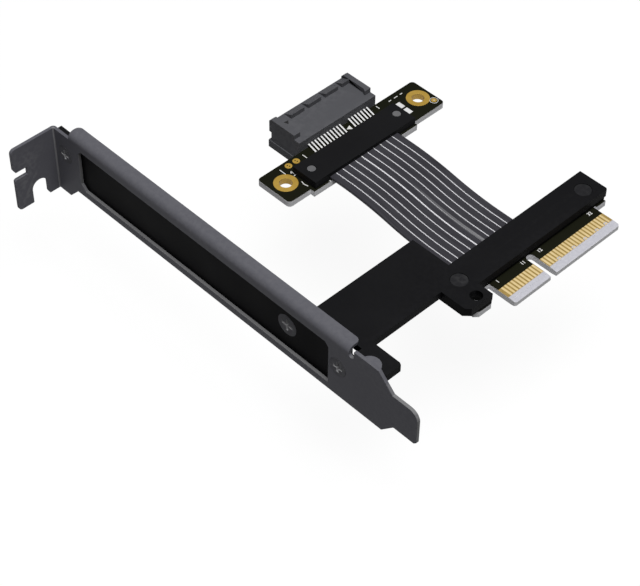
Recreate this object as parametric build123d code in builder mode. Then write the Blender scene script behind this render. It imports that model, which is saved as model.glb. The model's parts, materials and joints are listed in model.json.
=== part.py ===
"""Slot bracket with a support arm, a card-edge plug board, a flat cable of eleven strips and a card socket board."""
import os
from build123d import *

os.makedirs("parts", exist_ok=True)

# Bracket sheet and its bends
sheet = 0.86
bend_out = 1.8
bend_in = bend_out - sheet
tab_bend_in = 0.1
tab_bend_out = tab_bend_in + sheet
bracket_end = 120.02
flange_reach = 3.6
flange_start = 6.5
flange_end = bracket_end - 20.27
relief_w = 1.5
relief_depth = 0.55
ear_r = 2.5
ear_y = bracket_end - 14.02
shoulder_y = (bracket_end - 11.52, bracket_end - 7.32)
nose_top = -4.3
nose_low = -13.9
nose_r = 2.6
nose_cut = nose_r * (1 - 0.5 ** 0.5)
foot_y = (bracket_end - 10.02, bracket_end - 6.62)
plate_low = -17.55
window_y = (-93.7, -9.8)
window_z = (-15.6, -3.5)

# Screw tab at the top of the bracket
tab_reach = 12.5
tab_top = -2.0
tab_low = -20.95
tab_corner_r = 1.2
tab_neck = tab_reach - 0.6
tab_foot = tab_reach - 0.15
tab_slot_z = (-11.2, -9.05)
tab_slot_end = 8.65
tab_web_y = (5.0, 8.14)
notch_half = 2.21
notch_x = -5.65
notch_z = -17.1

# Screws through the bracket
screws = ((-4.45, -8.2), (-80.15, -8.9), (-96.6, -8.6))
small_head_r = 2.4
large_head_r = 2.85
screw_sink = 0.5
screw_fit = 0.07
screw_shank_r = 1.45
screw_hole_r = 1.6
screw_end = 3.3

# Support arm sheet
arm_sheet = 2.0
arm_top = -sheet
arm_low = arm_top - arm_sheet
arm_in = 0.4
arm_out = arm_in + arm_sheet
arm_y = (-101.3, -86.0)
back_low = -17.0
back_high = arm_low - arm_in - 0.2
back_start = -0.2
back_end = -98.2
back_shoulder = -5.0
back_tail = 1.8

# Circuit boards
board = 1.57
plug_top = -3.9
plug_low = plug_top - board
socket_top = -1.2
socket_low = socket_top - board
socket_mid = (socket_top + socket_low) / 2

# Plug board
tongue_x = (38.0, 73.2)
tongue_end = -112.7
key_x = (49.65, 51.55)
pitch = 1.0
plug_rows = [39.1 + pitch * i for i in range(11)] + [52.1 + pitch * i for i in range(21)]
finger_w = 0.7
finger_y = (tongue_end + 1.3, tongue_end + 5.1)
short_rows = [55.1, 60.1, 64.1, 68.1, 71.1]
short_end = tongue_end + 2.8
tongue_cut = 0.4
long_rows = [x for x in plug_rows if round(x, 1) not in short_rows]
pad_h = 0.06
ear_hole = (31.1, -107.2)
ear_hole_r = 1.5
cover_screws = ((31.9, -101.5), (73.2, -101.4))

# Flat cable
strips = 11
strip_pitch = 2.02
strip_w = 1.96
strip_h = 0.9
cable_x = 45.3
cable_half = strip_pitch * strips / 2 + 0.05
cable_plug_y = -100.5
cable_socket_y = -53.2
curve_y = (-92.5, -62.5)
channel_h = strip_h + 0.1
channel_end = -53.1

# Socket board
hole_x = (26.0, 69.4)
hole_y = -53.1
board_y = (-58.5, -47.7)
ring_r = 2.9
hole_r = 1.55
rivets = ((32.2, -55.07), (60.0, -55.07))
cover_h = 2.0
cover_x = (29.5, 62.1)
cover_y = (-59.2, -51.8)

# Card socket
housing_x = (35.35, 60.35)
housing_y = (board_y[1], -37.5)
rail_front = housing_y[0] + 1.7
block_depth = 2.7
housing_top = 1.6
rim_top = 2.9
rim_cut = 0.7
block_rise = 1.2
block_x = ((40.0, 44.2), (45.5, 49.7), (51.1, 55.3), (56.6, 59.0))
housing_low = 2 * socket_mid - housing_top
slot_half = 0.9
slot_end = housing_y[0] + 2.2
socket_rows = [38.35 + pitch * i for i in range(11)] + [51.35 + pitch * i for i in range(7)]
pin_w = 0.6
pin_h = 0.25
pin_y = (housing_y[0] - 2.6, housing_y[1] - 2.1)


# Slot bracket
with BuildPart() as slot_bracket:
    with BuildSketch(Plane.YZ):
        with BuildLine():
            Polyline(
                (-tab_bend_out, tab_top), (-flange_start, tab_top), (-flange_start, -bend_out - 0.1),
                (-flange_end, -bend_out - 0.1),
            )
            ThreePointArc(
                (-flange_end, -bend_out - 0.1),
                (-flange_end - relief_w / 2, -bend_out - 0.1 - relief_depth),
                (-flange_end - relief_w, -bend_out - 0.1),
            )
            Polyline(
                (-flange_end - relief_w, -bend_out - 0.1), (-flange_end - relief_w, 0),
                (-shoulder_y[0], 0), (-shoulder_y[1], nose_top), (-bracket_end + nose_r, nose_top),
            )
            ThreePointArc(
                (-bracket_end + nose_r, nose_top), (-bracket_end + nose_cut, nose_top - nose_cut),
                (-bracket_end, nose_top - nose_r),
            )
            Polyline(
                (-bracket_end, nose_top - nose_r), (-bracket_end, nose_low + 0.7),
                (-bracket_end + 0.7, nose_low), (-foot_y[1], nose_low), (-foot_y[0], plate_low),
                (-tab_web_y[1], plate_low), (-tab_web_y[0], tab_low), (-tab_bend_out, tab_low),
                (-tab_bend_out, tab_top),
            )
        make_face()
        with BuildLine():
            Polyline(
                (window_y[0], window_z[0]), (window_y[1] - 1.5, window_z[0]),
                (window_y[1], window_z[0] + 1.5), (window_y[1], window_z[1] - 1.0),
                (window_y[1] - 1.0, window_z[1]), (window_y[0] + 1.0, window_z[1]),
                (window_y[0], window_z[1] - 1.0), close=True,
            )
        make_face(mode=Mode.SUBTRACT)
        with Locations(screws[0], screws[2]):
            Circle(screw_hole_r, mode=Mode.SUBTRACT)
    extrude(amount=sheet)
    with BuildSketch(Plane.YZ):
        with Locations(screws[0], screws[2]):
            Circle(small_head_r + screw_fit)
    extrude(amount=screw_sink, taper=45, mode=Mode.SUBTRACT)
    with BuildSketch(Plane.XZ.offset(flange_start)):
        with BuildLine():
            Line((0, -bend_out - 0.1), (0, -bend_out))
            RadiusArc((0, -bend_out), (bend_out, 0), bend_out)
            Polyline(
                (bend_out, 0), (flange_reach, 0), (flange_reach, -sheet), (sheet + bend_in, -sheet),
            )
            RadiusArc((sheet + bend_in, -sheet), (sheet, -bend_out), -bend_in)
            Polyline((sheet, -bend_out), (sheet, -bend_out - 0.1), (0, -bend_out - 0.1))
        make_face()
    extrude(amount=flange_end - flange_start)
    with BuildSketch(Plane.XY.offset(-sheet)):
        with BuildLine():
            ThreePointArc((0, -ear_y - ear_r), (ear_r, -ear_y), (0, -ear_y + ear_r))
            Line((0, -ear_y + ear_r), (0, -ear_y - ear_r))
        make_face()
    extrude(amount=sheet)
    flange_corners = slot_bracket.edges().filter_by(Axis.Z).filter_by_position(
        Axis.X, flange_reach - 0.01, flange_reach + 0.01
    )
    fillet(flange_corners.sort_by(Axis.Y)[-1], radius=1.4)
    flange_corners = slot_bracket.edges().filter_by(Axis.Z).filter_by_position(
        Axis.X, flange_reach - 0.01, flange_reach + 0.01
    )
    fillet(flange_corners.sort_by(Axis.Y)[0], radius=1.2)

# Screw tab folded off the top of the bracket
with BuildPart() as screw_tab:
    with BuildSketch(Plane.XY.offset(tab_low)):
        with BuildLine():
            Line((-tab_reach, 0), (-tab_bend_in, 0))
            RadiusArc((-tab_bend_in, 0), (sheet, -tab_bend_out), tab_bend_out)
            Polyline((sheet, -tab_bend_out), (sheet, -1.4), (0, -1.4), (0, -tab_bend_out))
            RadiusArc((0, -tab_bend_out), (-tab_bend_in, -sheet), -tab_bend_in)
            Polyline((-tab_bend_in, -sheet), (-tab_reach, -sheet), (-tab_reach, 0))
        make_face()
    extrude(amount=tab_top - tab_low)
    with BuildSketch(Plane.XZ.offset(-1)):
        with BuildLine():
            Polyline(
                (sheet + 1, tab_low), (sheet + 1, tab_top), (-tab_reach + tab_corner_r, tab_top),
            )
            RadiusArc(
                (-tab_reach + tab_corner_r, tab_top), (-tab_reach, tab_top - tab_corner_r),
                -tab_corner_r,
            )
            Polyline(
                (-tab_reach, tab_top - tab_corner_r), (-tab_reach, tab_slot_z[1] + 1.15),
                (-tab_neck, tab_slot_z[1]), (-tab_slot_end, tab_slot_z[1]),
                (-tab_slot_end, tab_slot_z[0]), (-tab_neck, tab_slot_z[0]),
                (-tab_foot, tab_slot_z[0] - 0.4), (-tab_foot, tab_low + 1.05),
            )
            RadiusArc((-tab_foot, tab_low + 1.05), (-tab_foot + 1.05, tab_low), -1.05)
            Polyline(
                (-tab_foot + 1.05, tab_low), (notch_x - notch_half - 0.15, tab_low),
                (notch_x - notch_half, tab_low + 0.15), (notch_x - notch_half, notch_z),
            )
            ThreePointArc(
                (notch_x - notch_half, notch_z), (notch_x, notch_z + notch_half),
                (notch_x + notch_half, notch_z),
            )
            Polyline(
                (notch_x + notch_half, notch_z), (notch_x + notch_half, tab_low + 0.95),
                (notch_x + notch_half + 0.44, tab_low), (sheet + 1, tab_low),
            )
        make_face()
    extrude(amount=5, mode=Mode.INTERSECT)

with BuildPart() as bracket_whole:
    add(slot_bracket.part)
    add(screw_tab.part)

bracket_whole.part.label = "slot_bracket"
export_step(bracket_whole.part, "parts/slot_bracket.step")

# Cross-recessed screws that hold the arm to the bracket
with BuildPart() as bracket_screws:
    for (y, z), face_x, head_r in zip(
        screws, (0, sheet, 0), (small_head_r, large_head_r, small_head_r)
    ):
        with BuildSketch(Plane((face_x, y, z), x_dir=(0, 1, 0), z_dir=(1, 0, 0))):
            Circle(head_r)
        extrude(amount=screw_sink, taper=45)
        with BuildSketch(Plane((face_x, y, z), x_dir=(0, 1, 0), z_dir=(1, 0, 0))):
            Circle(screw_shank_r)
        extrude(amount=screw_end - face_x)
        with BuildSketch(Plane((face_x, y, z), x_dir=(0, 1, 0), z_dir=(1, 0, 0))):
            Rectangle(head_r * 1.15, 0.7)
            Rectangle(0.7, head_r * 1.15)
        extrude(amount=0.7, taper=12, mode=Mode.SUBTRACT)

bracket_screws.part.label = "bracket_screws"
export_step(bracket_screws.part, "parts/bracket_screws.step")

# Support arm: back plate bent over into the arm, which widens into the cover of the plug board
with BuildPart() as support_arm:
    with BuildSketch(Plane.YZ.offset(sheet)):
        with BuildLine():
            Polyline(
                (back_start, back_high), (back_end, back_high), (back_end, back_shoulder),
                (back_end - back_tail, back_shoulder - back_tail), (back_end - back_tail, back_low),
                (back_start, back_low), close=True,
            )
        make_face()
        with Locations(*screws):
            Circle(screw_hole_r, mode=Mode.SUBTRACT)
    extrude(amount=arm_sheet)
    with BuildSketch(Plane.YZ.offset(sheet)):
        with Locations(screws[1]):
            Circle(large_head_r + screw_fit)
    extrude(amount=screw_sink, taper=45, mode=Mode.SUBTRACT)
    with BuildSketch(Plane.XZ.offset(-arm_y[1])):
        with BuildLine():
            Line((sheet, arm_top - arm_out - 0.4), (sheet, arm_top - arm_out))
            RadiusArc((sheet, arm_top - arm_out), (sheet + arm_out, arm_top), arm_out)
            Polyline((sheet + arm_out, arm_top), (4.0, arm_top), (4.0, arm_low), (sheet + arm_out, arm_low))
            RadiusArc((sheet + arm_out, arm_low), (sheet + arm_sheet, arm_low - arm_in), -arm_in)
            Polyline(
                (sheet + arm_sheet, arm_low - arm_in), (sheet + arm_sheet, arm_top - arm_out - 0.4),
                (sheet, arm_top - arm_out - 0.4),
            )
        make_face()
    extrude(amount=arm_y[1] - back_end)
    with BuildSketch(Plane.XY.offset(arm_low)):
        with BuildLine():
            Polyline(
                (3.8, arm_y[1]), (33.5, arm_y[1]), (33.5, -96.85), (77.55, -96.85), (77.55, -104.7),
                (77.1, -105.15), (34.1, -105.15), (34.1, -109.3), (27.5, -109.3), (26.4, -108.2),
                (26.4, arm_y[0]), (5.5, arm_y[0]), (5.5, -109.31), (5.15, -109.94), (sheet, -109.94),
                (sheet, -101.15), (2.5, -101.15), (2.5, back_end), (3.8, back_end), close=True,
            )
        make_face()
        with Locations(ear_hole):
            Circle(ear_hole_r, mode=Mode.SUBTRACT)
        with Locations(*cover_screws):
            Circle(1.25, mode=Mode.SUBTRACT)
    extrude(amount=arm_sheet)
    with BuildSketch(Plane.XY.offset(arm_top - 0.85)):
        with Locations(*cover_screws):
            Circle(2.1)
    extrude(amount=1.0, mode=Mode.SUBTRACT)

support_arm.part.label = "support_arm"
export_step(support_arm.part, "parts/support_arm.step")

# Spacer between the cover and the plug board, open at the back for the cable
with BuildPart() as plug_spacer:
    with BuildSketch(Plane.XY.offset(plug_top)):
        with BuildLine():
            Polyline(
                (26.65, -97.1), (cable_x - cable_half, -97.1), (cable_x - cable_half, -100.6),
                (cable_x + cable_half, -100.6), (cable_x + cable_half, -97.1), (77.3, -97.1),
                (77.3, -104.6), (76.9, -104.95), (33.9, -104.95), (33.9, -109.1), (27.6, -109.1),
                (26.65, -108.1), close=True,
            )
        make_face()
        with Locations(ear_hole):
            Circle(ear_hole_r, mode=Mode.SUBTRACT)
        with Locations(*cover_screws):
            Circle(1.25, mode=Mode.SUBTRACT)
    extrude(amount=arm_low - plug_top)

plug_spacer.part.label = "plug_spacer"
export_step(plug_spacer.part, "parts/plug_spacer.step")

# Flush screws that hold the cover on the plug board
with BuildPart() as plug_cover_screws:
    with BuildSketch(Plane.XY.offset(plug_low - 0.3)):
        with Locations(*cover_screws):
            Circle(1.2)
    extrude(amount=arm_top - 0.85 - plug_low + 0.3)
    with BuildSketch(Plane.XY.offset(arm_top - 0.85)):
        with Locations(*cover_screws):
            Circle(2.03)
    extrude(amount=0.8)

plug_cover_screws.part.label = "plug_cover_screws"
export_step(plug_cover_screws.part, "parts/plug_cover_screws.step")

# Plug board with its tongue, key notch and ear
with BuildPart() as plug_board:
    with BuildSketch(Plane.XY.offset(plug_low)):
        with BuildLine():
            Polyline(
                (27.0, -97.4), (76.9, -97.4), (76.9, -105.5), (73.75, -105.5), (73.75, -104.95),
                (tongue_x[1], -104.95), (tongue_x[1], tongue_end + tongue_cut), (tongue_x[1] - tongue_cut, tongue_end),
                (key_x[1], tongue_end), (key_x[1], -105.88),
            )
            ThreePointArc((key_x[1], -105.88), (50.6, -104.93), (key_x[0], -105.88))
            Polyline(
                (key_x[0], -105.88), (key_x[0], tongue_end), (tongue_x[0] + tongue_cut, tongue_end),
                (tongue_x[0], tongue_end + tongue_cut), (tongue_x[0], -104.95), (34.1, -104.95),
                (34.1, -108.45), (33.3, -109.25), (27.8, -109.25), (27.0, -108.45), (27.0, -97.4),
            )
        make_face()
        with Locations(ear_hole):
            Circle(ear_hole_r, mode=Mode.SUBTRACT)
        with Locations(*cover_screws):
            Circle(1.25, mode=Mode.SUBTRACT)
    extrude(amount=board)
    with BuildSketch(Plane.YZ.offset(tongue_x[0] - 1)):
        with BuildLine():
            Polyline(
                (finger_y[0] - 0.1, plug_top), (tongue_end - 0.5, plug_top - 0.25),
                (tongue_end - 0.5, plug_top + 0.1), (finger_y[0] - 0.1, plug_top + 0.1), close=True,
            )
        make_face()
        with BuildLine():
            Polyline(
                (finger_y[0] - 0.1, plug_low), (tongue_end - 0.5, plug_low + 0.25),
                (tongue_end - 0.5, plug_low - 0.1), (finger_y[0] - 0.1, plug_low - 0.1), close=True,
            )
        make_face()
    extrude(amount=tongue_x[1] - tongue_x[0] + 2, mode=Mode.SUBTRACT)

plug_board.part.label = "plug_board"
export_step(plug_board.part, "parts/plug_board.step")

# Contact fingers on both sides of the tongue
with BuildPart() as plug_contacts_top:
    with BuildSketch(Plane.XY.offset(plug_top)):
        with Locations(*[(x, (finger_y[0] + finger_y[1]) / 2) for x in long_rows]):
            Rectangle(finger_w, finger_y[1] - finger_y[0])
        with Locations(*[(x, (short_end + finger_y[1]) / 2) for x in short_rows]):
            Rectangle(finger_w, finger_y[1] - short_end)
        with Locations(*[(x, short_end - 0.5) for x in short_rows]):
            Circle(0.28)
    extrude(amount=pad_h)

plug_contacts_top.part.label = "plug_contacts_top"
export_step(plug_contacts_top.part, "parts/plug_contacts_top.step")

with BuildPart() as plug_contacts_bottom:
    with BuildSketch(Plane.XY.offset(plug_low - pad_h)):
        with Locations(*[(x, (finger_y[0] + finger_y[1]) / 2) for x in plug_rows]):
            Rectangle(finger_w, finger_y[1] - finger_y[0])
    extrude(amount=pad_h)

plug_contacts_bottom.part.label = "plug_contacts_bottom"
export_step(plug_contacts_bottom.part, "parts/plug_contacts_bottom.step")

# Eleven flat strips on one S-shaped route, flat on each board at its ends
run = curve_y[1] - curve_y[0]
drop = socket_top - plug_top
curve_r = (run * run + drop * drop) / (4 * drop)
mid_y = (curve_y[0] + curve_y[1]) / 2
mid_z = (socket_top + plug_top) / 2

for number in range(strips):
    name = f"ribbon_strip_{number + 1:02d}"
    left = cable_x + (number - (strips - 1) / 2) * strip_pitch - strip_w / 2
    with BuildPart() as strip:
        with BuildSketch(Plane.YZ.offset(left)):
            with BuildLine():
                Line((cable_socket_y, socket_top), (curve_y[1], socket_top))
                RadiusArc((curve_y[1], socket_top), (mid_y, mid_z), -curve_r)
                RadiusArc((mid_y, mid_z), (curve_y[0], plug_top), curve_r)
                Polyline(
                    (curve_y[0], plug_top), (cable_plug_y, plug_top),
                    (cable_plug_y, plug_top + strip_h), (curve_y[0], plug_top + strip_h),
                )
                RadiusArc((curve_y[0], plug_top + strip_h), (mid_y, mid_z + strip_h), -curve_r)
                RadiusArc((mid_y, mid_z + strip_h), (curve_y[1], socket_top + strip_h), curve_r)
                Polyline(
                    (curve_y[1], socket_top + strip_h), (cable_socket_y, socket_top + strip_h),
                    (cable_socket_y, socket_top),
                )
            make_face()
        extrude(amount=strip_w)
        ends = strip.faces().filter_by(Axis.Y).edges()
        walls = strip.faces().filter_by(Axis.X).edges()
        long_edges = [edge for edge in walls if all(not edge.is_same(other) for other in ends)]
        chamfer(long_edges, length=0.22)
    strip.part.label = name
    export_step(strip.part, f"parts/{name}.step")

# Socket board, wider where the cable leaves it
with BuildPart() as socket_board:
    with BuildSketch(Plane.XY.offset(socket_low)):
        with Locations((47.55, (board_y[0] + board_y[1]) / 2)):
            RectangleRounded(51.0, board_y[1] - board_y[0], 1.0)
        with Locations(((28.7 + 62.3) / 2, (-59.75 - 50.0) / 2)):
            Rectangle(33.6, 9.75)
        with Locations((hole_x[0], hole_y), (hole_x[1], hole_y)):
            Circle(hole_r + 0.1, mode=Mode.SUBTRACT)
        with Locations(*rivets):
            Circle(0.75, mode=Mode.SUBTRACT)
    extrude(amount=board)

socket_board.part.label = "socket_board"
export_step(socket_board.part, "parts/socket_board.step")

# Plated linings of the two mounting holes
for name, x in (("hole_ring_left", hole_x[0]), ("hole_ring_right", hole_x[1])):
    with BuildPart() as ring:
        with BuildSketch(Plane.XY.offset(socket_low - pad_h)):
            with Locations((x, hole_y)):
                Circle(ring_r)
        extrude(amount=pad_h)
        with BuildSketch(Plane.XY.offset(socket_low - pad_h)):
            with Locations((x, hole_y)):
                Circle(hole_r + 0.1)
        extrude(amount=board + 2 * pad_h)
        with BuildSketch(Plane.XY.offset(socket_top)):
            with Locations((x, hole_y)):
                Circle(ring_r)
        extrude(amount=pad_h)
        with BuildSketch(Plane.XY.offset(socket_low - pad_h)):
            with Locations((x, hole_y)):
                Circle(hole_r)
        extrude(amount=board + 2 * pad_h, mode=Mode.SUBTRACT)
    ring.part.label = name
    export_step(ring.part, f"parts/{name}.step")

# Small pads on the socket board
with BuildPart() as via_pads:
    with BuildSketch(Plane.XY.offset(socket_top)):
        with Locations((32.84, -49.33), (30.39, -49.33)):
            Circle(0.88)
    extrude(amount=pad_h)

via_pads.part.label = "via_pads"
export_step(via_pads.part, "parts/via_pads.step")

with BuildPart() as solder_pads:
    with BuildSketch(Plane.XY.offset(socket_top)):
        with Locations((64.45, -52.07), (64.4, -54.7)):
            Rectangle(1.2, 2.05)
    extrude(amount=pad_h)

solder_pads.part.label = "solder_pads"
export_step(solder_pads.part, "parts/solder_pads.step")

with BuildPart() as round_pad:
    with BuildSketch(Plane.XY.offset(socket_top)):
        with Locations((71.6, -56.3)):
            Circle(0.72)
    extrude(amount=pad_h)

round_pad.part.label = "round_pad"
export_step(round_pad.part, "parts/round_pad.step")

# Cover over the cable end on the socket board
with BuildPart() as socket_cover:
    with BuildSketch(Plane.XY.offset(socket_top)):
        with Locations(((cover_x[0] + cover_x[1]) / 2, (cover_y[0] + cover_y[1]) / 2)):
            Rectangle(cover_x[1] - cover_x[0], cover_y[1] - cover_y[0])
        with Locations(*rivets):
            Circle(0.75, mode=Mode.SUBTRACT)
    extrude(amount=cover_h)
    with BuildSketch(Plane.XY.offset(socket_top)):
        with Locations((cable_x, (cover_y[0] - 1.0 + channel_end) / 2)):
            Rectangle(2 * cable_half, channel_end - cover_y[0] + 1.0)
    extrude(amount=channel_h, mode=Mode.SUBTRACT)
    with BuildSketch(Plane.XY.offset(socket_top + cover_h - 0.6)):
        with Locations(*rivets):
            Circle(1.08)
    extrude(amount=1.0, mode=Mode.SUBTRACT)

socket_cover.part.label = "socket_cover"
export_step(socket_cover.part, "parts/socket_cover.step")

# Rivets through the cover and the socket board
with BuildPart() as cover_rivets:
    with BuildSketch(Plane.XY.offset(socket_low - 0.35)):
        with Locations(*rivets):
            Circle(1.2)
    extrude(amount=0.35)
    with BuildSketch(Plane.XY.offset(socket_low)):
        with Locations(*rivets):
            Circle(0.7)
    extrude(amount=board + cover_h - 0.6)
    with BuildSketch(Plane.XY.offset(socket_top + cover_h - 0.6)):
        with Locations(*rivets):
            Circle(1.03)
    extrude(amount=0.55)

cover_rivets.part.label = "cover_rivets"
export_step(cover_rivets.part, "parts/cover_rivets.step")

# Card socket with its mouth away from the cable
with BuildPart() as socket_housing:
    with BuildSketch(Plane.XY.offset(housing_low)):
        with Locations((47.85, (housing_y[0] + housing_y[1]) / 2)):
            Rectangle(housing_x[1] - housing_x[0], housing_y[1] - housing_y[0])
    extrude(amount=housing_top - housing_low)
    with BuildSketch(Plane.XY.offset(housing_low)):
        with Locations((47.85, (housing_y[1] + rail_front) / 2)):
            Rectangle(housing_x[1] - housing_x[0] + 0.5, housing_y[1] - rail_front)
    extrude(amount=-3.5 - housing_low)
    with BuildSketch(Plane.XY.offset(housing_top)):
        with BuildLine():
            Polyline(
                (housing_x[0], housing_y[1]), (37.0, housing_y[1]), (36.7, rail_front + 1), (37.3, rail_front),
                (housing_x[0], rail_front), close=True,
            )
        make_face()
        with BuildLine():
            Polyline(
                (housing_x[1], housing_y[1]), (58.9, housing_y[1]), (58.9, rail_front + 1), (58.4, rail_front),
                (housing_x[1], rail_front), close=True,
            )
        make_face()
    extrude(amount=rim_top - housing_top)
    mouth_edges = socket_housing.edges().filter_by(Axis.X).filter_by_position(
        Axis.Z, rim_top - 0.01, rim_top + 0.01
    )
    chamfer(mouth_edges.group_by(Axis.Y)[-1], length=rim_cut)
    for start, end in block_x:
        with BuildSketch(Plane.YZ.offset(start)):
            with BuildLine():
                Polyline(
                    (housing_y[1], housing_top), (housing_y[1] - block_depth, housing_top + block_rise),
                    (housing_y[1] - block_depth, housing_top), close=True,
                )
            make_face()
        extrude(amount=end - start)
    with BuildSketch(Plane.XZ.offset(-housing_y[1])):
        with Locations(((37.45 + 49.1) / 2, socket_mid)):
            Rectangle(11.65, 2 * slot_half)
        with Locations(((50.6 + 58.25) / 2, socket_mid)):
            Rectangle(7.65, 2 * slot_half)
    extrude(amount=housing_y[1] - slot_end, mode=Mode.SUBTRACT)
    with BuildSketch(Plane.XZ.offset(-housing_y[1])):
        with Locations((housing_x[0], (-3.4 - 1.0) / 2), (housing_x[1], (-3.4 - 1.0) / 2)):
            Rectangle(2.4, 2.4)
    extrude(amount=0.7, mode=Mode.SUBTRACT)
    with BuildSketch(Plane.XY.offset(socket_top)):
        with Locations(*[(x, (pin_y[1] + housing_y[0]) / 2) for x in socket_rows]):
            Rectangle(pin_w, pin_y[1] - housing_y[0])
    extrude(amount=pin_h, mode=Mode.SUBTRACT)
    with BuildSketch(Plane.XY.offset(socket_low - pin_h)):
        with Locations(*[(x, (pin_y[1] + housing_y[0]) / 2) for x in socket_rows]):
            Rectangle(pin_w, pin_y[1] - housing_y[0])
    extrude(amount=pin_h, mode=Mode.SUBTRACT)

socket_housing.part.label = "socket_housing"
export_step(socket_housing.part, "parts/socket_housing.step")

# Contacts of the socket, with their tails flat on the board
with BuildPart() as socket_contacts_top:
    with BuildSketch(Plane.XY.offset(socket_top)):
        with Locations(*[(x, (pin_y[0] + pin_y[1]) / 2) for x in socket_rows]):
            Rectangle(pin_w, pin_y[1] - pin_y[0])
    extrude(amount=pin_h)

socket_contacts_top.part.label = "socket_contacts_top"
export_step(socket_contacts_top.part, "parts/socket_contacts_top.step")

with BuildPart() as socket_contacts_bottom:
    with BuildSketch(Plane.XY.offset(socket_low - pin_h)):
        with Locations(*[(x, (pin_y[0] + pin_y[1]) / 2) for x in socket_rows]):
            Rectangle(pin_w, pin_y[1] - pin_y[0])
    extrude(amount=pin_h)

socket_contacts_bottom.part.label = "socket_contacts_bottom"
export_step(socket_contacts_bottom.part, "parts/socket_contacts_bottom.step")
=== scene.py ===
import bpy
import json
import math
from mathutils import Matrix, Vector


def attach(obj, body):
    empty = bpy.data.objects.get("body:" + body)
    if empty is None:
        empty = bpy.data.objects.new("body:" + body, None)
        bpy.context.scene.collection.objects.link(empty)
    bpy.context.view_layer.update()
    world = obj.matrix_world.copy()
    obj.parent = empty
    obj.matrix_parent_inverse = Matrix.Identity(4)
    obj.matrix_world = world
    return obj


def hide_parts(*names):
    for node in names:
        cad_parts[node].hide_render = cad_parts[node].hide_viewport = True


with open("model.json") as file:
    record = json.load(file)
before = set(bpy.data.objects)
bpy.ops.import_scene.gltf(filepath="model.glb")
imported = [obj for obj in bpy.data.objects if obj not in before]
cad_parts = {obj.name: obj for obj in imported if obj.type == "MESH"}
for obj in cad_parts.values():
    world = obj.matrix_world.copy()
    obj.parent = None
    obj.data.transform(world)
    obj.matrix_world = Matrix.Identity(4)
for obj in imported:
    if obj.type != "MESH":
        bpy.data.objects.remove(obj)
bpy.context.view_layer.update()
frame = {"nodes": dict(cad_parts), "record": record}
mm = 0.001

# Sizes in mm that several places below share
bracket_sheet = 0.86
contact_pitch = 1.0
contact_shift = 0.1
contact_end = -110.55
strip_count = 11
strip_pitch = 2.02
cable_centre = 45.3
dot_radius = 0.17

# Depth of the finest relief in metres, and the range that noise mostly stays in
grain_depth = 0.01 * mm
noise_low, noise_high = 0.3, 0.7


def deselect_everything():
    if bpy.context.object and bpy.context.object.mode != "OBJECT":
        bpy.ops.object.mode_set(mode="OBJECT")
    bpy.ops.object.select_all(action="DESELECT")


def make_active(piece):
    deselect_everything()
    piece.select_set(True)
    bpy.context.view_layer.objects.active = piece


def apply_modifier(piece, kind, **settings):
    make_active(piece)
    step = piece.modifiers.new(kind.lower(), kind)
    for key, value in settings.items():
        setattr(step, key, value)
    bpy.ops.object.modifier_apply(modifier=step.name)


# Shader groups that several finishes share
def new_group(name, inputs, outputs):
    group = bpy.data.node_groups.new(name, "ShaderNodeTree")
    for label, kind, value in inputs:
        socket = group.interface.new_socket(name=label, in_out="INPUT", socket_type=kind)
        if value is not None:
            socket.default_value = value
    for label, kind in outputs:
        group.interface.new_socket(name=label, in_out="OUTPUT", socket_type=kind)
    start = group.nodes.new("NodeGroupInput")
    end = group.nodes.new("NodeGroupOutput")
    return group, start, end


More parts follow.
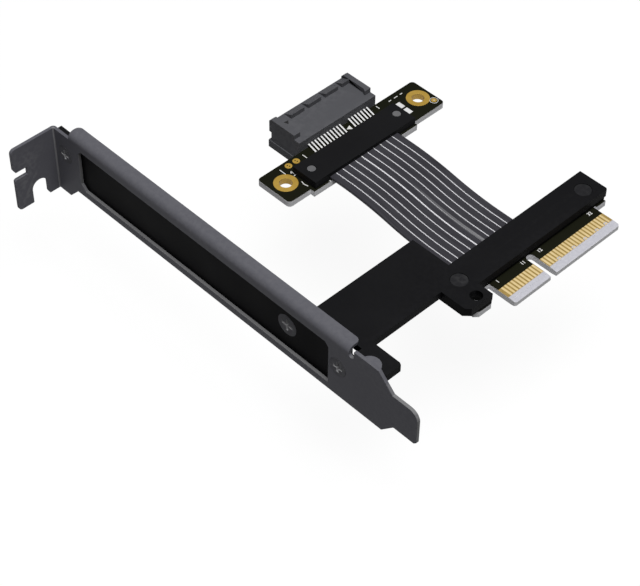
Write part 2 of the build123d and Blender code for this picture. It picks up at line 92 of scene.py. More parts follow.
def build_paint_grain():
    group, start, end = new_group(
        "paint_grain",
        [
            ("Vector", "NodeSocketVector", None), ("Fine Scale", "NodeSocketFloat", 5200.0),
            ("Broad Scale", "NodeSocketFloat", 60.0), ("Dark", "NodeSocketColor", (0, 0, 0, 1)),
            ("Light", "NodeSocketColor", (1, 1, 1, 1)), ("Rough Low", "NodeSocketFloat", 0.4),
            ("Rough High", "NodeSocketFloat", 0.55),
        ],
        [("Color", "NodeSocketColor"), ("Roughness", "NodeSocketFloat"), ("Height", "NodeSocketFloat")],
    )
    nodes, links = group.nodes, group.links
    fine_share = 0.4
    fine = nodes.new("ShaderNodeTexNoise")
    fine.inputs["Detail"].default_value = 3.0
    fine.inputs["Roughness"].default_value = 0.6
    broad = nodes.new("ShaderNodeTexNoise")
    broad.inputs["Detail"].default_value = 5.0
    links.new(start.outputs["Vector"], fine.inputs["Vector"])
    links.new(start.outputs["Fine Scale"], fine.inputs["Scale"])
    links.new(start.outputs["Vector"], broad.inputs["Vector"])
    links.new(start.outputs["Broad Scale"], broad.inputs["Scale"])
    blend = nodes.new("ShaderNodeMath")
    blend.operation = "MULTIPLY_ADD"
    blend.inputs[1].default_value = fine_share
    scaled = nodes.new("ShaderNodeMath")
    scaled.operation = "MULTIPLY"
    scaled.inputs[1].default_value = 1.0 - fine_share
    links.new(broad.outputs["Fac"], scaled.inputs[0])
    links.new(fine.outputs["Fac"], blend.inputs[0])
    links.new(scaled.outputs[0], blend.inputs[2])
    spread = nodes.new("ShaderNodeMapRange")
    spread.inputs["From Min"].default_value = noise_low
    spread.inputs["From Max"].default_value = noise_high
    links.new(blend.outputs[0], spread.inputs["Value"])
    tone = nodes.new("ShaderNodeMix")
    tone.data_type = "RGBA"
    links.new(spread.outputs["Result"], tone.inputs["Factor"])
    links.new(start.outputs["Dark"], tone.inputs["A"])
    links.new(start.outputs["Light"], tone.inputs["B"])
    rough = nodes.new("ShaderNodeMapRange")
    rough.inputs["From Min"].default_value = noise_low
    rough.inputs["From Max"].default_value = noise_high
    links.new(broad.outputs["Fac"], rough.inputs["Value"])
    links.new(start.outputs["Rough Low"], rough.inputs["To Min"])
    links.new(start.outputs["Rough High"], rough.inputs["To Max"])
    links.new(tone.outputs["Result"], end.inputs["Color"])
    links.new(rough.outputs["Result"], end.inputs["Roughness"])
    links.new(fine.outputs["Fac"], end.inputs["Height"])
    return group


def build_edge_wear():
    group, start, end = new_group(
        "edge_wear",
        [
            ("Vector", "NodeSocketVector", None), ("Scale", "NodeSocketFloat", 900.0),
            ("Amount", "NodeSocketFloat", 0.5),
        ],
        [("Mask", "NodeSocketFloat")],
    )
    nodes, links = group.nodes, group.links
    sharp = nodes.new("ShaderNodeNewGeometry")
    ridge = nodes.new("ShaderNodeMapRange")
    ridge.inputs["From Min"].default_value = 0.52
    ridge.inputs["From Max"].default_value = 0.62
    links.new(sharp.outputs["Pointiness"], ridge.inputs["Value"])
    speckle = nodes.new("ShaderNodeTexNoise")
    speckle.inputs["Detail"].default_value = 6.0
    links.new(start.outputs["Vector"], speckle.inputs["Vector"])
    links.new(start.outputs["Scale"], speckle.inputs["Scale"])
    broken = nodes.new("ShaderNodeMapRange")
    broken.inputs["From Min"].default_value = 0.4
    broken.inputs["From Max"].default_value = 0.6
    links.new(speckle.outputs["Fac"], broken.inputs["Value"])
    both = nodes.new("ShaderNodeMath")
    both.operation = "MULTIPLY"
    links.new(ridge.outputs["Result"], both.inputs[0])
    links.new(broken.outputs["Result"], both.inputs[1])
    amount = nodes.new("ShaderNodeMath")
    amount.operation = "MULTIPLY"
    links.new(both.outputs[0], amount.inputs[0])
    links.new(start.outputs["Amount"], amount.inputs[1])
    links.new(amount.outputs[0], end.inputs["Mask"])
    return group


# Masks of the faces that look along z (Up), x (Across) and y (Along)
def build_facing():
    outputs = [("Up", "NodeSocketFloat"), ("Across", "NodeSocketFloat"), ("Along", "NodeSocketFloat")]
    group, start, end = new_group("facing", [], outputs)
    nodes, links = group.nodes, group.links
    place = nodes.new("ShaderNodeTexCoord")
    split = nodes.new("ShaderNodeSeparateXYZ")
    links.new(place.outputs["Normal"], split.inputs[0])
    for axis, label in (("Z", "Up"), ("X", "Across"), ("Y", "Along")):
        size = nodes.new("ShaderNodeMath")
        size.operation = "ABSOLUTE"
        links.new(split.outputs[axis], size.inputs[0])
        step = nodes.new("ShaderNodeMapRange")
        step.inputs["From Min"].default_value = 0.6
        step.inputs["From Max"].default_value = 0.8
        links.new(size.outputs[0], step.inputs["Value"])
        links.new(step.outputs["Result"], end.inputs[label])
    return group


paint_grain = build_paint_grain()
edge_wear = build_edge_wear()
facing = build_facing()


class Finish:
    """A material with its shader, its coordinates and short calls to add nodes."""

    def __init__(self, name):
        self.material = bpy.data.materials.new(name)
        self.material.use_nodes = True
        self.nodes = self.material.node_tree.nodes
        self.links = self.material.node_tree.links
        self.shader = self.nodes["Principled BSDF"]
        self.where = self.nodes.new("ShaderNodeTexCoord").outputs["Object"]

    def group(self, tree, **values):
        node = self.nodes.new("ShaderNodeGroup")
        node.node_tree = tree
        for key, value in values.items():
            node.inputs[key.replace("_", " ")].default_value = value
        if "Vector" in node.inputs:
            self.links.new(self.where, node.inputs["Vector"])
        return node

    def math(self, operation, first, second=None, clamp=False):
        node = self.nodes.new("ShaderNodeMath")
        node.operation = operation
        node.use_clamp = clamp
        for index, value in enumerate((first, second)):
            if value is None:
                continue
            if isinstance(value, (int, float)):
                node.inputs[index].default_value = value
            else:
                self.links.new(value, node.inputs[index])
        return node.outputs[0]

    def mix(self, factor, first, second):
        node = self.nodes.new("ShaderNodeMix")
        node.data_type = "RGBA"
        for label, value in (("Factor", factor), ("A", first), ("B", second)):
            if isinstance(value, (int, float)):
                node.inputs[label].default_value = value
            elif isinstance(value, tuple):
                node.inputs[label].default_value = (*value, 1.0)
            else:
                self.links.new(value, node.inputs[label])
        return node.outputs["Result"]

    def axes(self):
        node = self.nodes.new("ShaderNodeSeparateXYZ")
        self.links.new(self.where, node.inputs[0])
        return node.outputs

    def noise(self, scale, detail, stretch=None):
        node = self.nodes.new("ShaderNodeTexNoise")
        node.inputs["Scale"].default_value = scale
        node.inputs["Detail"].default_value = detail
        if stretch:
            turn = self.nodes.new("ShaderNodeMapping")
            turn.inputs["Scale"].default_value = stretch
            self.links.new(self.where, turn.inputs["Vector"])
            self.links.new(turn.outputs["Vector"], node.inputs["Vector"])
        else:
            self.links.new(self.where, node.inputs["Vector"])
        return node.outputs["Fac"]

    def between(self, value, low, high, out_low=0.0, out_high=1.0):
        node = self.nodes.new("ShaderNodeMapRange")
        node.inputs["From Min"].default_value = low
        node.inputs["From Max"].default_value = high
        node.inputs["To Min"].default_value = out_low
        node.inputs["To Max"].default_value = out_high
        self.links.new(value, node.inputs["Value"])
        return node.outputs["Result"]

    def under(self, value, low, high):
        return self.between(value, low, high, 1.0, 0.0)

    def apart(self, value, place):
        return self.math("ABSOLUTE", self.math("SUBTRACT", value, place))

    def both(self, first, second):
        return self.math("MULTIPLY", first, second)

    def patchy(self, noise, dark, light):
        return self.mix(self.between(noise, noise_low, noise_high), dark, light)

    def color(self, value):
        self.links.new(value, self.shader.inputs["Base Color"])

    def rough(self, value):
        self.links.new(value, self.shader.inputs["Roughness"])

    def bump(self, height, distance, strength):
        node = self.nodes.new("ShaderNodeBump")
        node.inputs["Distance"].default_value = distance
        node.inputs["Strength"].default_value = strength
        self.links.new(height, node.inputs["Height"])
        self.links.new(node.outputs["Normal"], self.shader.inputs["Normal"])


# Paint on a sheet or screw: the optional painted shade gives the faces that look along x a darker colour, the
# optional painted highlight gives all the other faces a lighter one
def painted_sheet(name, dark, light, worn, rough_low, rough_high, wear, across_shade=None, recess_highlight=None):
    finish = Finish(name)
    grain_node = finish.group(
        paint_grain, Dark=(*dark, 1.0), Light=(*light, 1.0), Rough_Low=rough_low, Rough_High=rough_high
    )
    wear_node = finish.group(edge_wear, Amount=wear)
    paint = finish.mix(wear_node.outputs["Mask"], grain_node.outputs["Color"], worn)
    if across_shade is not None:
        paint = finish.mix(finish.group(facing).outputs["Across"], paint, across_shade)
    if recess_highlight is not None:
        paint = finish.mix(finish.group(facing).outputs["Across"], recess_highlight, paint)
    finish.color(paint)
    finish.rough(grain_node.outputs["Roughness"])
    finish.bump(grain_node.outputs["Height"], grain_depth, 0.12)
    finish.shader.inputs["Specular IOR Level"].default_value = 0.02
    return finish.material


# Bracket paint with painted highlights: lighter cut faces and a painted highlight line along the bend of the
# tab; its rubbed edges take the same light tone
def bracket_finish():
    finish = Finish("bracket_satin_paint")
    grain_node = finish.group(
        paint_grain, Dark=(0.112, 0.112, 0.128, 1.0), Light=(0.126, 0.126, 0.144, 1.0),
        Broad_Scale=25.0, Rough_Low=0.5, Rough_High=0.58,
    )
    wear_node = finish.group(edge_wear, Amount=0.35)
    side = finish.group(facing)
    axes = finish.axes()
    # Light tone for both the rubbed edges and the painted highlight along the bend
    wear_and_highlight_tone = (0.24, 0.24, 0.25)
    below = finish.under(axes["Z"], -2.6 * mm, -2.2 * mm)
    past_tab = finish.under(axes["Y"], -1.8 * mm, -1.4 * mm)
    edge_on = finish.math("MAXIMUM", side.outputs["Up"], side.outputs["Along"])
    # Painted highlight: cut faces below the flange that look up or along y are painted lighter
    lit_cut_faces = finish.both(finish.both(below, past_tab), edge_on)
    paint = finish.mix(lit_cut_faces, grain_node.outputs["Color"], (0.21, 0.21, 0.215))
    line_core, line_rim = 0.25 * mm, 0.4 * mm
    at_face = finish.under(finish.math("ABSOLUTE", axes["X"]), line_core, line_rim)
    at_tab = finish.under(finish.apart(axes["Y"], -bracket_sheet * mm), line_core, line_rim)
    # Painted highlight: a light line along the inner bend between the tab and the face
    bend_highlight = finish.both(at_face, at_tab)
    paint = finish.mix(bend_highlight, paint, wear_and_highlight_tone)
    finish.color(finish.mix(wear_node.outputs["Mask"], paint, wear_and_highlight_tone))
    finish.rough(grain_node.outputs["Roughness"])
    finish.bump(grain_node.outputs["Height"], grain_depth, 0.2)
    finish.shader.inputs["Specular IOR Level"].default_value = 0.08
    return finish.material


# Circuit board; "bare_from" is the y where the coating of the plug board ends
def board_finish(name, bare_from=None):
    finish = Finish(name)
    grain_node = finish.group(
        paint_grain, Dark=(0.0095, 0.0100, 0.0055, 1.0), Light=(0.0125, 0.0130, 0.0075, 1.0),
        Fine_Scale=2600.0, Rough_Low=0.3, Rough_High=0.42,
    )
    side = finish.group(facing)
    layers = finish.noise(300.0, 2.0, (0.2, 0.2, 9.0))
    laminate = finish.patchy(layers, (0.80, 0.80, 0.82), (0.90, 0.90, 0.92))
    flat = side.outputs["Up"]
    mask = grain_node.outputs["Color"]
    if bare_from is not None:
        axes = finish.axes()
        coated = finish.between(axes["Y"], bare_from - 0.15 * mm, bare_from + 0.05 * mm)
        flat = finish.both(flat, coated)
        speck = finish.noise(1500.0, 4.0)
        bare = finish.patchy(speck, (0.52, 0.52, 0.57), (0.60, 0.60, 0.65))
        laminate = finish.mix(side.outputs["Up"], laminate, bare)
        resin = finish.patchy(speck, (0.33, 0.22, 0.065), (0.44, 0.31, 0.11))
        short_contacts = (55.1, 60.1, 64.1, 68.1, 71.1)
        past_short_end = finish.under(axes["Y"], -109.95 * mm, -109.85 * mm)
        for row in short_contacts:
            on_row = finish.under(finish.apart(axes["X"], row * mm), 0.45 * mm, 0.5 * mm)
            resin = finish.mix(finish.both(on_row, past_short_end), resin, bare)
        past_coating = finish.under(axes["Y"], -107.65 * mm, -107.55 * mm)
        past_ear = finish.between(axes["X"], 37.0 * mm, 37.1 * mm)
        tongue = finish.both(past_coating, past_ear)
        mask = finish.mix(tongue, mask, resin)
    finish.color(finish.mix(flat, laminate, mask))
    finish.rough(grain_node.outputs["Roughness"])
    finish.bump(finish.noise(1100.0, 2.0), grain_depth, 0.04)
    finish.shader.inputs["Specular IOR Level"].default_value = 0.04
    return finish.material


# Plating; "rim" colours the two sides of each contact of the tongue
def plated_finish(name, dark, light, rough_low, rough_high, metal, rim=None):
    finish = Finish(name)
    grain_node = finish.group(
        paint_grain, Dark=(*dark, 1.0), Light=(*light, 1.0), Fine_Scale=3800.0, Broad_Scale=420.0,
        Rough_Low=rough_low, Rough_High=rough_high,
    )
    plating = grain_node.outputs["Color"]
    if rim is not None:
        shifted = finish.math("SUBTRACT", finish.axes()["X"], contact_shift * mm)
        row = finish.math("DIVIDE", shifted, contact_pitch * mm)
        off_centre = finish.apart(row, finish.math("ROUND", row))
        plating = finish.mix(finish.between(off_centre, 0.22, 0.32), plating, rim)
    finish.color(plating)
    finish.rough(grain_node.outputs["Roughness"])
    finish.bump(grain_node.outputs["Height"], grain_depth, 0.25)
    finish.shader.inputs["Metallic"].default_value = metal
    return finish.material


# Cable strips with painted highlights: a thin white highlight line at each edge between strips, a wider one
# at the fifth and a grey painted highlight band at the sixth that fades away
def strip_finish():
    finish = Finish("strip_jacket")
    axes = finish.axes()
    left = (cable_centre - strip_count / 2 * strip_pitch) * mm
    phase = finish.math("DIVIDE", finish.math("SUBTRACT", axes["X"], left), strip_pitch * mm)
    # Painted highlights: thin white lines where the strips meet
    line = finish.under(finish.apart(phase, finish.math("ROUND", phase)), 0.050, 0.070)
    from_left = finish.between(phase, 0.4, 0.45)
    from_right = finish.under(phase, strip_count - 0.45, strip_count - 0.4)
    inner = finish.both(from_left, from_right)
    fifth = finish.under(finish.apart(phase, 5.0), 0.08, 0.10)
    # Painted highlight: a broad grey band at the sixth strip that fades out towards the socket
    sixth = finish.under(finish.apart(phase, 6.05), 0.18, 0.26)
    fading_highlight_band = finish.both(sixth, finish.between(axes["Y"], -94 * mm, -72 * mm, 0.9, 0.0))
    line = finish.math("SUBTRACT", line, fading_highlight_band, clamp=True)
    edge_highlights = finish.math("MAXIMUM", finish.both(line, inner), fifth)
    brushed = finish.noise(420.0, 5.0, (6.0, 0.35, 1.0))
    drift = finish.noise(45.0, 2.0)
    body = finish.patchy(brushed, (0.029, 0.028, 0.034), (0.046, 0.045, 0.053))
    body = finish.mix(finish.between(drift, 0.35, 0.65, 0.0, 0.35), body, (0.070, 0.069, 0.079))
    body = finish.mix(fading_highlight_band, body, (0.25, 0.25, 0.26))
    finish.color(finish.mix(edge_highlights, body, (0.86, 0.86, 0.88)))
    finish.rough(finish.between(brushed, noise_low, noise_high, 0.34, 0.5))
    finish.bump(brushed, 2 * grain_depth, 0.3)
    finish.shader.inputs["Specular IOR Level"].default_value = 0.15
    return finish.material


def socket_finish():
    finish = Finish("socket_moulding")
    grain_node = finish.group(
        paint_grain, Dark=(0.084, 0.085, 0.094, 1.0), Light=(0.096, 0.097, 0.106, 1.0),
        Fine_Scale=3000.0, Rough_Low=0.5, Rough_High=0.62,
    )
    wear_node = finish.group(edge_wear, Amount=0.25)
    finish.color(finish.mix(wear_node.outputs["Mask"], grain_node.outputs["Color"], (0.15, 0.15, 0.16)))
    finish.rough(grain_node.outputs["Roughness"])
    finish.bump(grain_node.outputs["Height"], 2 * grain_depth, 0.3)
    finish.shader.inputs["Specular IOR Level"].default_value = 0.1
    return finish.material


def ink_finish():
    finish = Finish("white_print")
    speck = finish.noise(2600.0, 4.0)
    finish.color(finish.patchy(speck, (0.72, 0.72, 0.70), (0.86, 0.86, 0.84)))
    finish.rough(finish.between(speck, noise_low, noise_high, 0.5, 0.65))
    return finish.material


finishes = {
    "bracket_satin": bracket_finish(),
    # The screws' faces that do not look along x, the recess walls and head rims, get a lighter painted
    # highlight
    "screw_dark": painted_sheet(
        "dark_screw", (0.105, 0.105, 0.115), (0.130, 0.130, 0.142), (0.22, 0.22, 0.23), 0.4, 0.5, 0.4,
        recess_highlight=(0.42, 0.42, 0.43),
    ),
    # The arm's faces that look along x get a darker painted shade
    "arm_black": painted_sheet(
        "arm_black_paint", (0.0090, 0.0090, 0.0100), (0.0125, 0.0125, 0.0135), (0.03, 0.03, 0.032),
        0.5, 0.6, 0.08, across_shade=(0.0015, 0.0015, 0.002),
    ),
    "spacer_black": painted_sheet(
        "spacer_black", (0.004, 0.004, 0.004), (0.007, 0.007, 0.007), (0.02, 0.02, 0.02), 0.55, 0.7, 0.2
    ),
    "screw_black": painted_sheet(
        "flush_screw", (0.018, 0.018, 0.020), (0.026, 0.026, 0.028), (0.06, 0.06, 0.06), 0.4, 0.5, 0.4
    ),
    "contact_gold": plated_finish(
        "contact_gold", (0.80, 0.60, 0.27), (0.92, 0.73, 0.40), 0.4, 0.5, 0.15, rim=(0.50, 0.36, 0.11)
    ),
    "ring_gold": plated_finish("ring_gold", (0.52, 0.32, 0.045), (0.66, 0.43, 0.09), 0.35, 0.5, 0.3),
    "solder_tin": plated_finish("solder_tin", (0.80, 0.80, 0.80), (0.92, 0.92, 0.92), 0.4, 0.55, 0.1),
    "cover_black": painted_sheet(
        "cover_black", (0.0100, 0.0100, 0.0110), (0.0140, 0.0140, 0.0150), (0.03, 0.03, 0.032),
        0.5, 0.6, 0.08,
    ),
    "rivet_grey": painted_sheet(
        "rivet_grey", (0.12, 0.12, 0.125), (0.16, 0.16, 0.165), (0.24, 0.24, 0.24), 0.45, 0.55, 0.3
    ),
    "socket_grey": socket_finish(),
    "ribbon_grey": strip_finish(),
    "board_mask": board_finish("socket_board_mask"),
}
plug_board_mask = board_finish("plug_board_mask", bare_from=contact_end * mm)
white_print = ink_finish()


def dress(piece, material):
    piece.data.materials.clear()
    piece.data.materials.append(material)
    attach(piece, "root")


# A copy of a CAD node with some corner points moved and its edges rounded
def softened_copy(node, name, width, segments, moves=()):
    same_place = 0.01 * mm
    source = frame["nodes"][node]
    piece = bpy.data.objects.new(name, source.data.copy())
    bpy.context.scene.collection.objects.link(piece)
    piece.matrix_world = source.matrix_world.copy()
    make_active(piece)
    bpy.ops.object.mode_set(mode="EDIT")
    bpy.ops.mesh.select_all(action="SELECT")
    bpy.ops.mesh.remove_doubles(threshold=0.002 * mm)
    bpy.ops.mesh.dissolve_limited(angle_limit=math.radians(0.6))
    bpy.ops.object.mode_set(mode="OBJECT")
    bpy.ops.object.transform_apply(location=True, rotation=True, scale=True)
    for old, new in moves:
        for point in piece.data.vertices:
            near_x = abs(point.co.x - old[0] * mm) < same_place
            near_y = abs(point.co.y - old[1] * mm) < same_place
            if near_x and near_y:
                point.co.x = new[0] * mm
                point.co.y = new[1] * mm
    apply_modifier(
        piece, "BEVEL", width=width, segments=segments, limit_method="ANGLE",
        angle_limit=math.radians(35), use_clamp_overlap=True, harden_normals=False,
    )
    make_active(piece)
    bpy.ops.object.shade_smooth_by_angle(angle=math.radians(30))
    apply_modifier(piece, "WEIGHTED_NORMAL", keep_sharp=True, weight=100)
    return piece


slot_of = {entry["node"]: entry["material_slot"] for entry in frame["record"]["subparts"]}

# Node, name of its rounded copy, width of the rounding and its segments
softened = {
    "slot_bracket": ("bracket_sheet", 0.10 * mm, 2),
    "bracket_screws": ("bracket_screw_heads", 0.08 * mm, 2),
    "support_arm": ("arm_and_cover", 0.12 * mm, 2),
    "plug_spacer": ("plug_spacer_frame", 0.06 * mm, 1),
    "plug_board": ("plug_circuit_board", 0.05 * mm, 1),
    "plug_contacts_top": ("top_contacts", 0.015 * mm, 1),
    "plug_cover_screws": ("flush_screws", 0.06 * mm, 1),
    "socket_board": ("socket_circuit_board", 0.05 * mm, 1),
    "socket_cover": ("socket_cover_plate", 0.12 * mm, 2),
    "cover_rivets": ("rivet_pair", 0.12 * mm, 2),
    "socket_housing": ("card_socket_moulding", 0.10 * mm, 2),
    "socket_contacts_bottom": ("lower_contacts", 0.05 * mm, 1),
    "hole_ring_left": ("left_hole_plating", 0.025 * mm, 1),
    "hole_ring_right": ("right_hole_plating", 0.025 * mm, 1),
}

# Corner points that softened_copy moves: the place of each in the CAD model and its new place, in mm
contact_sides = [row + side for row in range(39, 73) for side in (-0.25, 0.45)]
trims = {
    "plug_contacts_top": [((x, -111.4), (x, contact_end)) for x in contact_sides],
    "plug_board": [
        ((27.0, -108.45), (29.2, -108.35)), ((27.8, -109.25), (30.2, -109.25)),
        ((27.0, -97.4), (29.2, -97.4)), ((33.3, -109.25), (34.05, -109.25)),
    ],
    "plug_spacer": [
        ((26.65, -108.1), (26.65, -107.45)), ((27.6, -109.1), (28.0, -108.8)),
        ((33.9, -109.1), (34.08, -109.28)), ((33.9, -104.95), (34.08, -104.95)),
    ],
}
for node, (name, width, segments) in softened.items():
    piece = softened_copy(node, name, width, segments, trims.get(node, ()))
    material = plug_board_mask if node == "plug_board" else finishes[slot_of[node]]
    dress(piece, material)
    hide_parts(node)

for number in range(1, strip_count + 1):
    node = f"ribbon_strip_{number:02d}"
    piece = softened_copy(node, f"cable_strip_{number:02d}", 0.08 * mm, 2)
    dress(piece, finishes["ribbon_grey"])
    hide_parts(node)


def joined(name, pieces):
    deselect_everything()
    for piece in pieces:
        piece.select_set(True)
    bpy.context.view_layer.objects.active = pieces[0]
    bpy.ops.object.join()
    piece = bpy.context.object
    piece.name = name
    return piece


# Upper contacts of the socket: each comes out of the housing and slopes down to the board
def upper_contacts():
    toe, heel, flat, width = -50.25, -50.15, -1.06, 0.42
    first_x, run, rise = 38.35, 2.45, 0.8
    other_rows = (*range(1, 11), *range(13, 20))
    deselect_everything()
    bpy.ops.mesh.primitive_plane_add(size=1, location=(first_x * mm, (toe + heel) / 2 * mm, flat * mm))
    first = bpy.context.object
    first.dimensions = (width * mm, (heel - toe) * mm, 0)
    bpy.ops.object.transform_apply(location=True, rotation=True, scale=True)
    bpy.ops.object.mode_set(mode="EDIT")
    bpy.ops.mesh.select_mode(type="VERT")
    bpy.ops.mesh.select_all(action="DESELECT")
    bpy.ops.object.mode_set(mode="OBJECT")
    for point in first.data.vertices:
        point.select = point.co.y > (heel - 0.01) * mm
    bpy.ops.object.mode_set(mode="EDIT")
    bpy.ops.mesh.extrude_region_move(TRANSFORM_OT_translate={"value": (0, run * mm, rise * mm)})
    bpy.ops.object.mode_set(mode="OBJECT")
    apply_modifier(first, "SOLIDIFY", thickness=0.12 * mm, offset=-1.0)
    apply_modifier(first, "BEVEL", width=0.03 * mm, segments=2, limit_method="ANGLE")
    make_active(first)
    bpy.ops.mesh.customdata_custom_splitnormals_clear()
    bpy.ops.object.shade_smooth_by_angle(angle=math.radians(35))
    pins = [first]
    for step in other_rows:
        pin = first.copy()
        pin.data = first.data.copy()
        pin.location.x += step * mm
        bpy.context.scene.collection.objects.link(pin)
        pins.append(pin)
    row = joined("upper_contacts", pins)
    make_active(row)
    bpy.ops.object.transform_apply(location=True, rotation=True, scale=True)
    return row


contacts = upper_contacts()
dress(contacts, finishes["solder_tin"])
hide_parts("socket_contacts_top")

# The CAD nodes without a copy get their finish in their own material slots
for node, part in frame["nodes"].items():
    if node in softened or node.startswith("ribbon_strip") or node == "socket_contacts_top":
        continue
    for place in part.material_slots:
        place.material = finishes[slot_of[node]]


# Printed marks, half their height proud of the boards, with rounded edges
mark_height = 0.04 * mm
mark_rounding = 0.3


def printed_strip(name, start, end, width, top):
    deselect_everything()
    middle = ((start[0] + end[0]) / 2 * mm, (start[1] + end[1]) / 2 * mm, top)
    length = math.hypot(end[0] - start[0], end[1] - start[1]) * mm
    bpy.ops.mesh.primitive_cube_add(size=1, location=middle)
    mark = bpy.context.object
    mark.name = name
    mark.dimensions = (length, width * mm, mark_height)
    mark.rotation_euler.z = math.atan2(end[1] - start[1], end[0] - start[0])
    bpy.ops.object.transform_apply(location=True, rotation=True, scale=True)
    rounding = width * mark_rounding * mm
    apply_modifier(mark, "BEVEL", width=rounding, segments=2, affect="EDGES", limit_method="ANGLE")
    return mark


def printed_disc(name, place, radius, top, sides=16, height=mark_height, turn=0.0):
    deselect_everything()
    bpy.ops.mesh.primitive_cylinder_add(
        vertices=sides, radius=radius * mm, depth=height, location=(place[0] * mm, place[1] * mm, top),
        rotation=(0, 0, turn),
    )
    mark = bpy.context.object
    mark.name = name
    bpy.ops.object.transform_apply(location=True, rotation=True, scale=True)
    apply_modifier(mark, "BEVEL", width=height * mark_rounding, segments=1, limit_method="ANGLE")
    return mark


def printed_number(text, place, height, top):
    size_of_height = 1.35
    deselect_everything()
    bpy.ops.object.text_add()
    mark = bpy.context.object
    mark.name = f"number_{text}"
    mark.data.body = text
    mark.data.size = height * size_of_height * mm
    mark.data.align_x = "CENTER"
    mark.data.align_y = "CENTER"
    mark.data.offset = 0.025 * mm
    mark.data.extrude = mark_height / 2
    bpy.ops.object.convert(target="MESH")
    mark.location = (place[0] * mm, place[1] * mm, top)
    bpy.ops.object.transform_apply(location=True, rotation=True, scale=True)
    return mark


socket_top = -1.2 * mm
plug_top = -3.9 * mm
socket_marks = [
    ((35.4, -48.7), (35.4, -50.8)), ((28.0, -48.9), (28.0, -50.9)), ((29.0, -55.2), (28.75, -56.2)),
    ((28.75, -56.2), (29.0, -57.3)), ((60.0, -48.3), (60.0, -49.5)), ((29.55, -51.0), (29.55, -52.6)),
    ((29.55, -51.0), (29.1, -51.6)), ((29.0, -52.6), (30.1, -52.6)),
    ((63.4, -49.2), (64.2, -49.2)), ((65.2, -49.2), (66.4, -49.2)), ((67.2, -49.2), (68.0, -49.2)),
]
marks = [
    printed_strip(f"socket_mark_{index}", start, end, width=0.22, top=socket_top)
    for index, (start, end) in enumerate(socket_marks)
]
marks.append(printed_disc("arrow", (49.95, -49.55), 0.9, socket_top, sides=3, turn=3.52))
marks.append(printed_disc("edge_dot", (33.85, -59.5), dot_radius, socket_top))
socket_print = joined("socket_board_print", marks)
dress(socket_print, white_print)

# White dots at the end of two strips
dot_level = socket_top + 0.86 * mm
dots = [
    printed_disc(f"strip_dot_{index}", (x, -59.45), dot_radius, dot_level, height=0.12 * mm)
    for index, x in enumerate((44.29, 44.29 + 3 * strip_pitch))
]
strip_dots = joined("strip_end_dots", dots)
dress(strip_dots, white_print)

# Plain numbers at four contact positions of the tongue
numbers = [
    printed_number(text, (x, -105.75), height=0.95, top=plug_top)
    for text, x in (("1", 39.9), ("11", 48.2), ("12", 53.8), ("32", 70.9))
]
plug_print = joined("plug_board_print", numbers)
dress(plug_print, white_print)

# Dark discs on the pads as painted shade inside their drill holes, and the mark around the round pad
pad_top = socket_top + 0.06 * mm
shade_discs = [
    printed_disc(f"drill_{x}_{side}", (x + 0.1 * side, -49.33 - 0.28 * side), dot_radius, pad_top)
    for x in (32.84, 30.39) for side in (-1, 1)
]
pad_shade_discs = joined("pad_hole_painted_shade", shade_discs)
dress(pad_shade_discs, finishes["spacer_black"])

deselect_everything()
bpy.ops.mesh.primitive_torus_add(
    location=(71.6 * mm, -56.3 * mm, socket_top), major_radius=1.0 * mm, minor_radius=0.07 * mm,
    major_segments=32, minor_segments=8,
)
ring_mark = bpy.context.object
ring_mark.scale.z = 0.4
bpy.ops.object.transform_apply(location=True, rotation=True, scale=True)
cross = [
    printed_strip("cross_a", (71.3, -56.3), (71.9, -56.3), width=0.07, top=pad_top),
    printed_strip("cross_b", (71.6, -56.6), (71.6, -56.0), width=0.07, top=pad_top),
]
pad_mark = joined("round_pad_mark", [ring_mark] + cross)
dress(pad_mark, white_print)

# Small moulded arrow on the socket
housing_top = 1.6 * mm
socket_arrow = printed_disc(
    "socket_arrow", (38.4, -40.3), 0.75, housing_top, sides=3, height=0.3 * mm, turn=0.9
)
dress(socket_arrow, finishes["screw_black"])


# Camera, fitted to the photo
def aim_camera():
    azimuth, elevation, roll = math.radians(-44.56), math.radians(46.22), math.radians(0.73)
    sensor_width, focal_pixels, photo_width = 36.0, 1828.5, 640.0
    back = Vector((
        math.sin(azimuth) * math.cos(elevation), -math.cos(azimuth) * math.cos(elevation), math.sin(elevation)
    ))
    right = Vector((0, 0, 1)).cross(back).normalized()
    up = back.cross(right)
    side = right * math.cos(roll) + up * math.sin(roll)
    top = -right * math.sin(roll) + up * math.cos(roll)
    target = Vector((0.030, -0.060, 0.0))
    shift_side, shift_top, distance = 0.00010, -0.02423, 0.41397
    eye = target + side * shift_side + top * shift_top + back * distance
    lens = bpy.data.cameras.new("photo_camera")
    lens.sensor_width = sensor_width
    lens.lens = focal_pixels * sensor_width / photo_width
    lens.clip_start = 0.01
    camera = bpy.data.objects.new("photo_camera", lens)
    bpy.context.scene.collection.objects.link(camera)
    camera.matrix_world = Matrix((
        (side.x, top.x, back.x, eye.x), (side.y, top.y, back.y, eye.y), (side.z, top.z, back.z, eye.z),
        (0, 0, 0, 1),
    ))
    bpy.context.scene.camera = camera


aim_camera()


# 1 for camera, glossy and transmission rays, 0 for the others
def seen_directly(tree):
    path = tree.nodes.new("ShaderNodeLightPath")
    seen = tree.nodes.new("ShaderNodeMath")
    seen.operation = "MAXIMUM"
    tree.links.new(path.outputs["Is Camera Ray"], seen.inputs[0])
    tree.links.new(path.outputs["Is Glossy Ray"], seen.inputs[1])
    both = tree.nodes.new("ShaderNodeMath")
    both.operation = "MAXIMUM"
    tree.links.new(seen.outputs[0], both.inputs[0])
    tree.links.new(path.outputs["Is Transmission Ray"], both.inputs[1])
    return both.outputs[0]


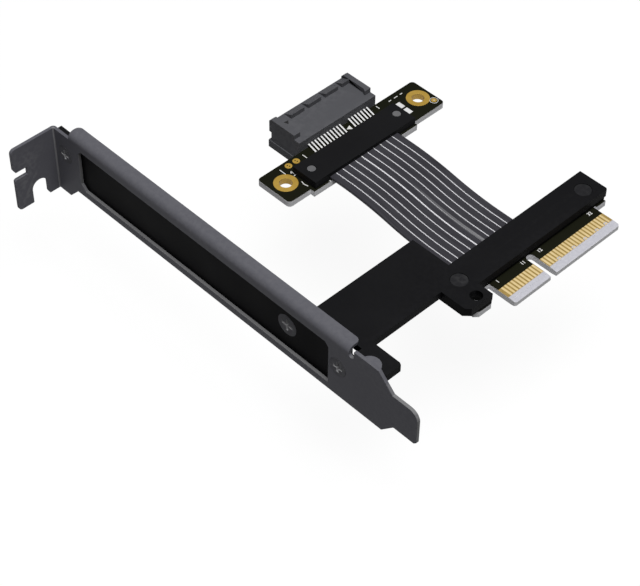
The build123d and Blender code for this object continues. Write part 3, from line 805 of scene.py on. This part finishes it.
# White floor
deselect_everything()
bpy.ops.mesh.primitive_plane_add(size=6, location=(0.03, -0.06, -0.045))
floor = bpy.context.object
floor.name = "floor"
paper = bpy.data.materials.new("white_paper")
paper.use_nodes = True
tree = paper.node_tree
base = tree.nodes["Principled BSDF"]
base.inputs["Roughness"].default_value = 0.9
glow = tree.nodes.new("ShaderNodeEmission")
glow.inputs["Strength"].default_value = 1.03
share = tree.nodes.new("ShaderNodeMath")
share.operation = "MULTIPLY"
share.inputs[1].default_value = 0.9
seen = seen_directly(tree)
tone = tree.nodes.new("ShaderNodeMix")
tone.data_type = "RGBA"
tone.inputs["A"].default_value = (0.12, 0.12, 0.12, 1)
tone.inputs["B"].default_value = (0.95, 0.95, 0.95, 1)
tree.links.new(seen, tone.inputs["Factor"])
tree.links.new(tone.outputs["Result"], base.inputs["Base Color"])
tree.links.new(seen, share.inputs[0])
blend = tree.nodes.new("ShaderNodeMixShader")
tree.links.new(share.outputs[0], blend.inputs[0])
tree.links.new(base.outputs[0], blend.inputs[1])
tree.links.new(glow.outputs[0], blend.inputs[2])
tree.links.new(blend.outputs[0], tree.nodes["Material Output"].inputs["Surface"])
floor.data.materials.append(paper)

# White backdrop with a dim light of its own
world = bpy.data.worlds.new("studio")
bpy.context.scene.world = world
world.use_nodes = True
tree = world.node_tree
ambient = tree.nodes["Background"]
ambient.inputs["Color"].default_value = (1, 1, 1, 1)
ambient.inputs["Strength"].default_value = 0.11
backdrop = tree.nodes.new("ShaderNodeBackground")
backdrop.inputs["Strength"].default_value = 1.0
blend = tree.nodes.new("ShaderNodeMixShader")
path = tree.nodes.new("ShaderNodeLightPath")
tree.links.new(path.outputs["Is Camera Ray"], blend.inputs[0])
tree.links.new(ambient.outputs[0], blend.inputs[1])
tree.links.new(backdrop.outputs[0], blend.inputs[2])
tree.links.new(blend.outputs[0], tree.nodes["World Output"].inputs["Surface"])

# One soft lamp overhead
light = bpy.data.lights.new("overhead", "AREA")
light.shape = "SQUARE"
light.size = 0.5
light.energy = 7.0
lamp = bpy.data.objects.new("overhead", light)
bpy.context.scene.collection.objects.link(lamp)
lamp.location = (-0.06, -0.25, 0.8)
part_centre = Vector((0.03, -0.06, 0.0))
lamp.rotation_euler = (part_centre - lamp.location).to_track_quat("-Z", "Y").to_euler()

bpy.context.scene.view_settings.view_transform = "Standard"
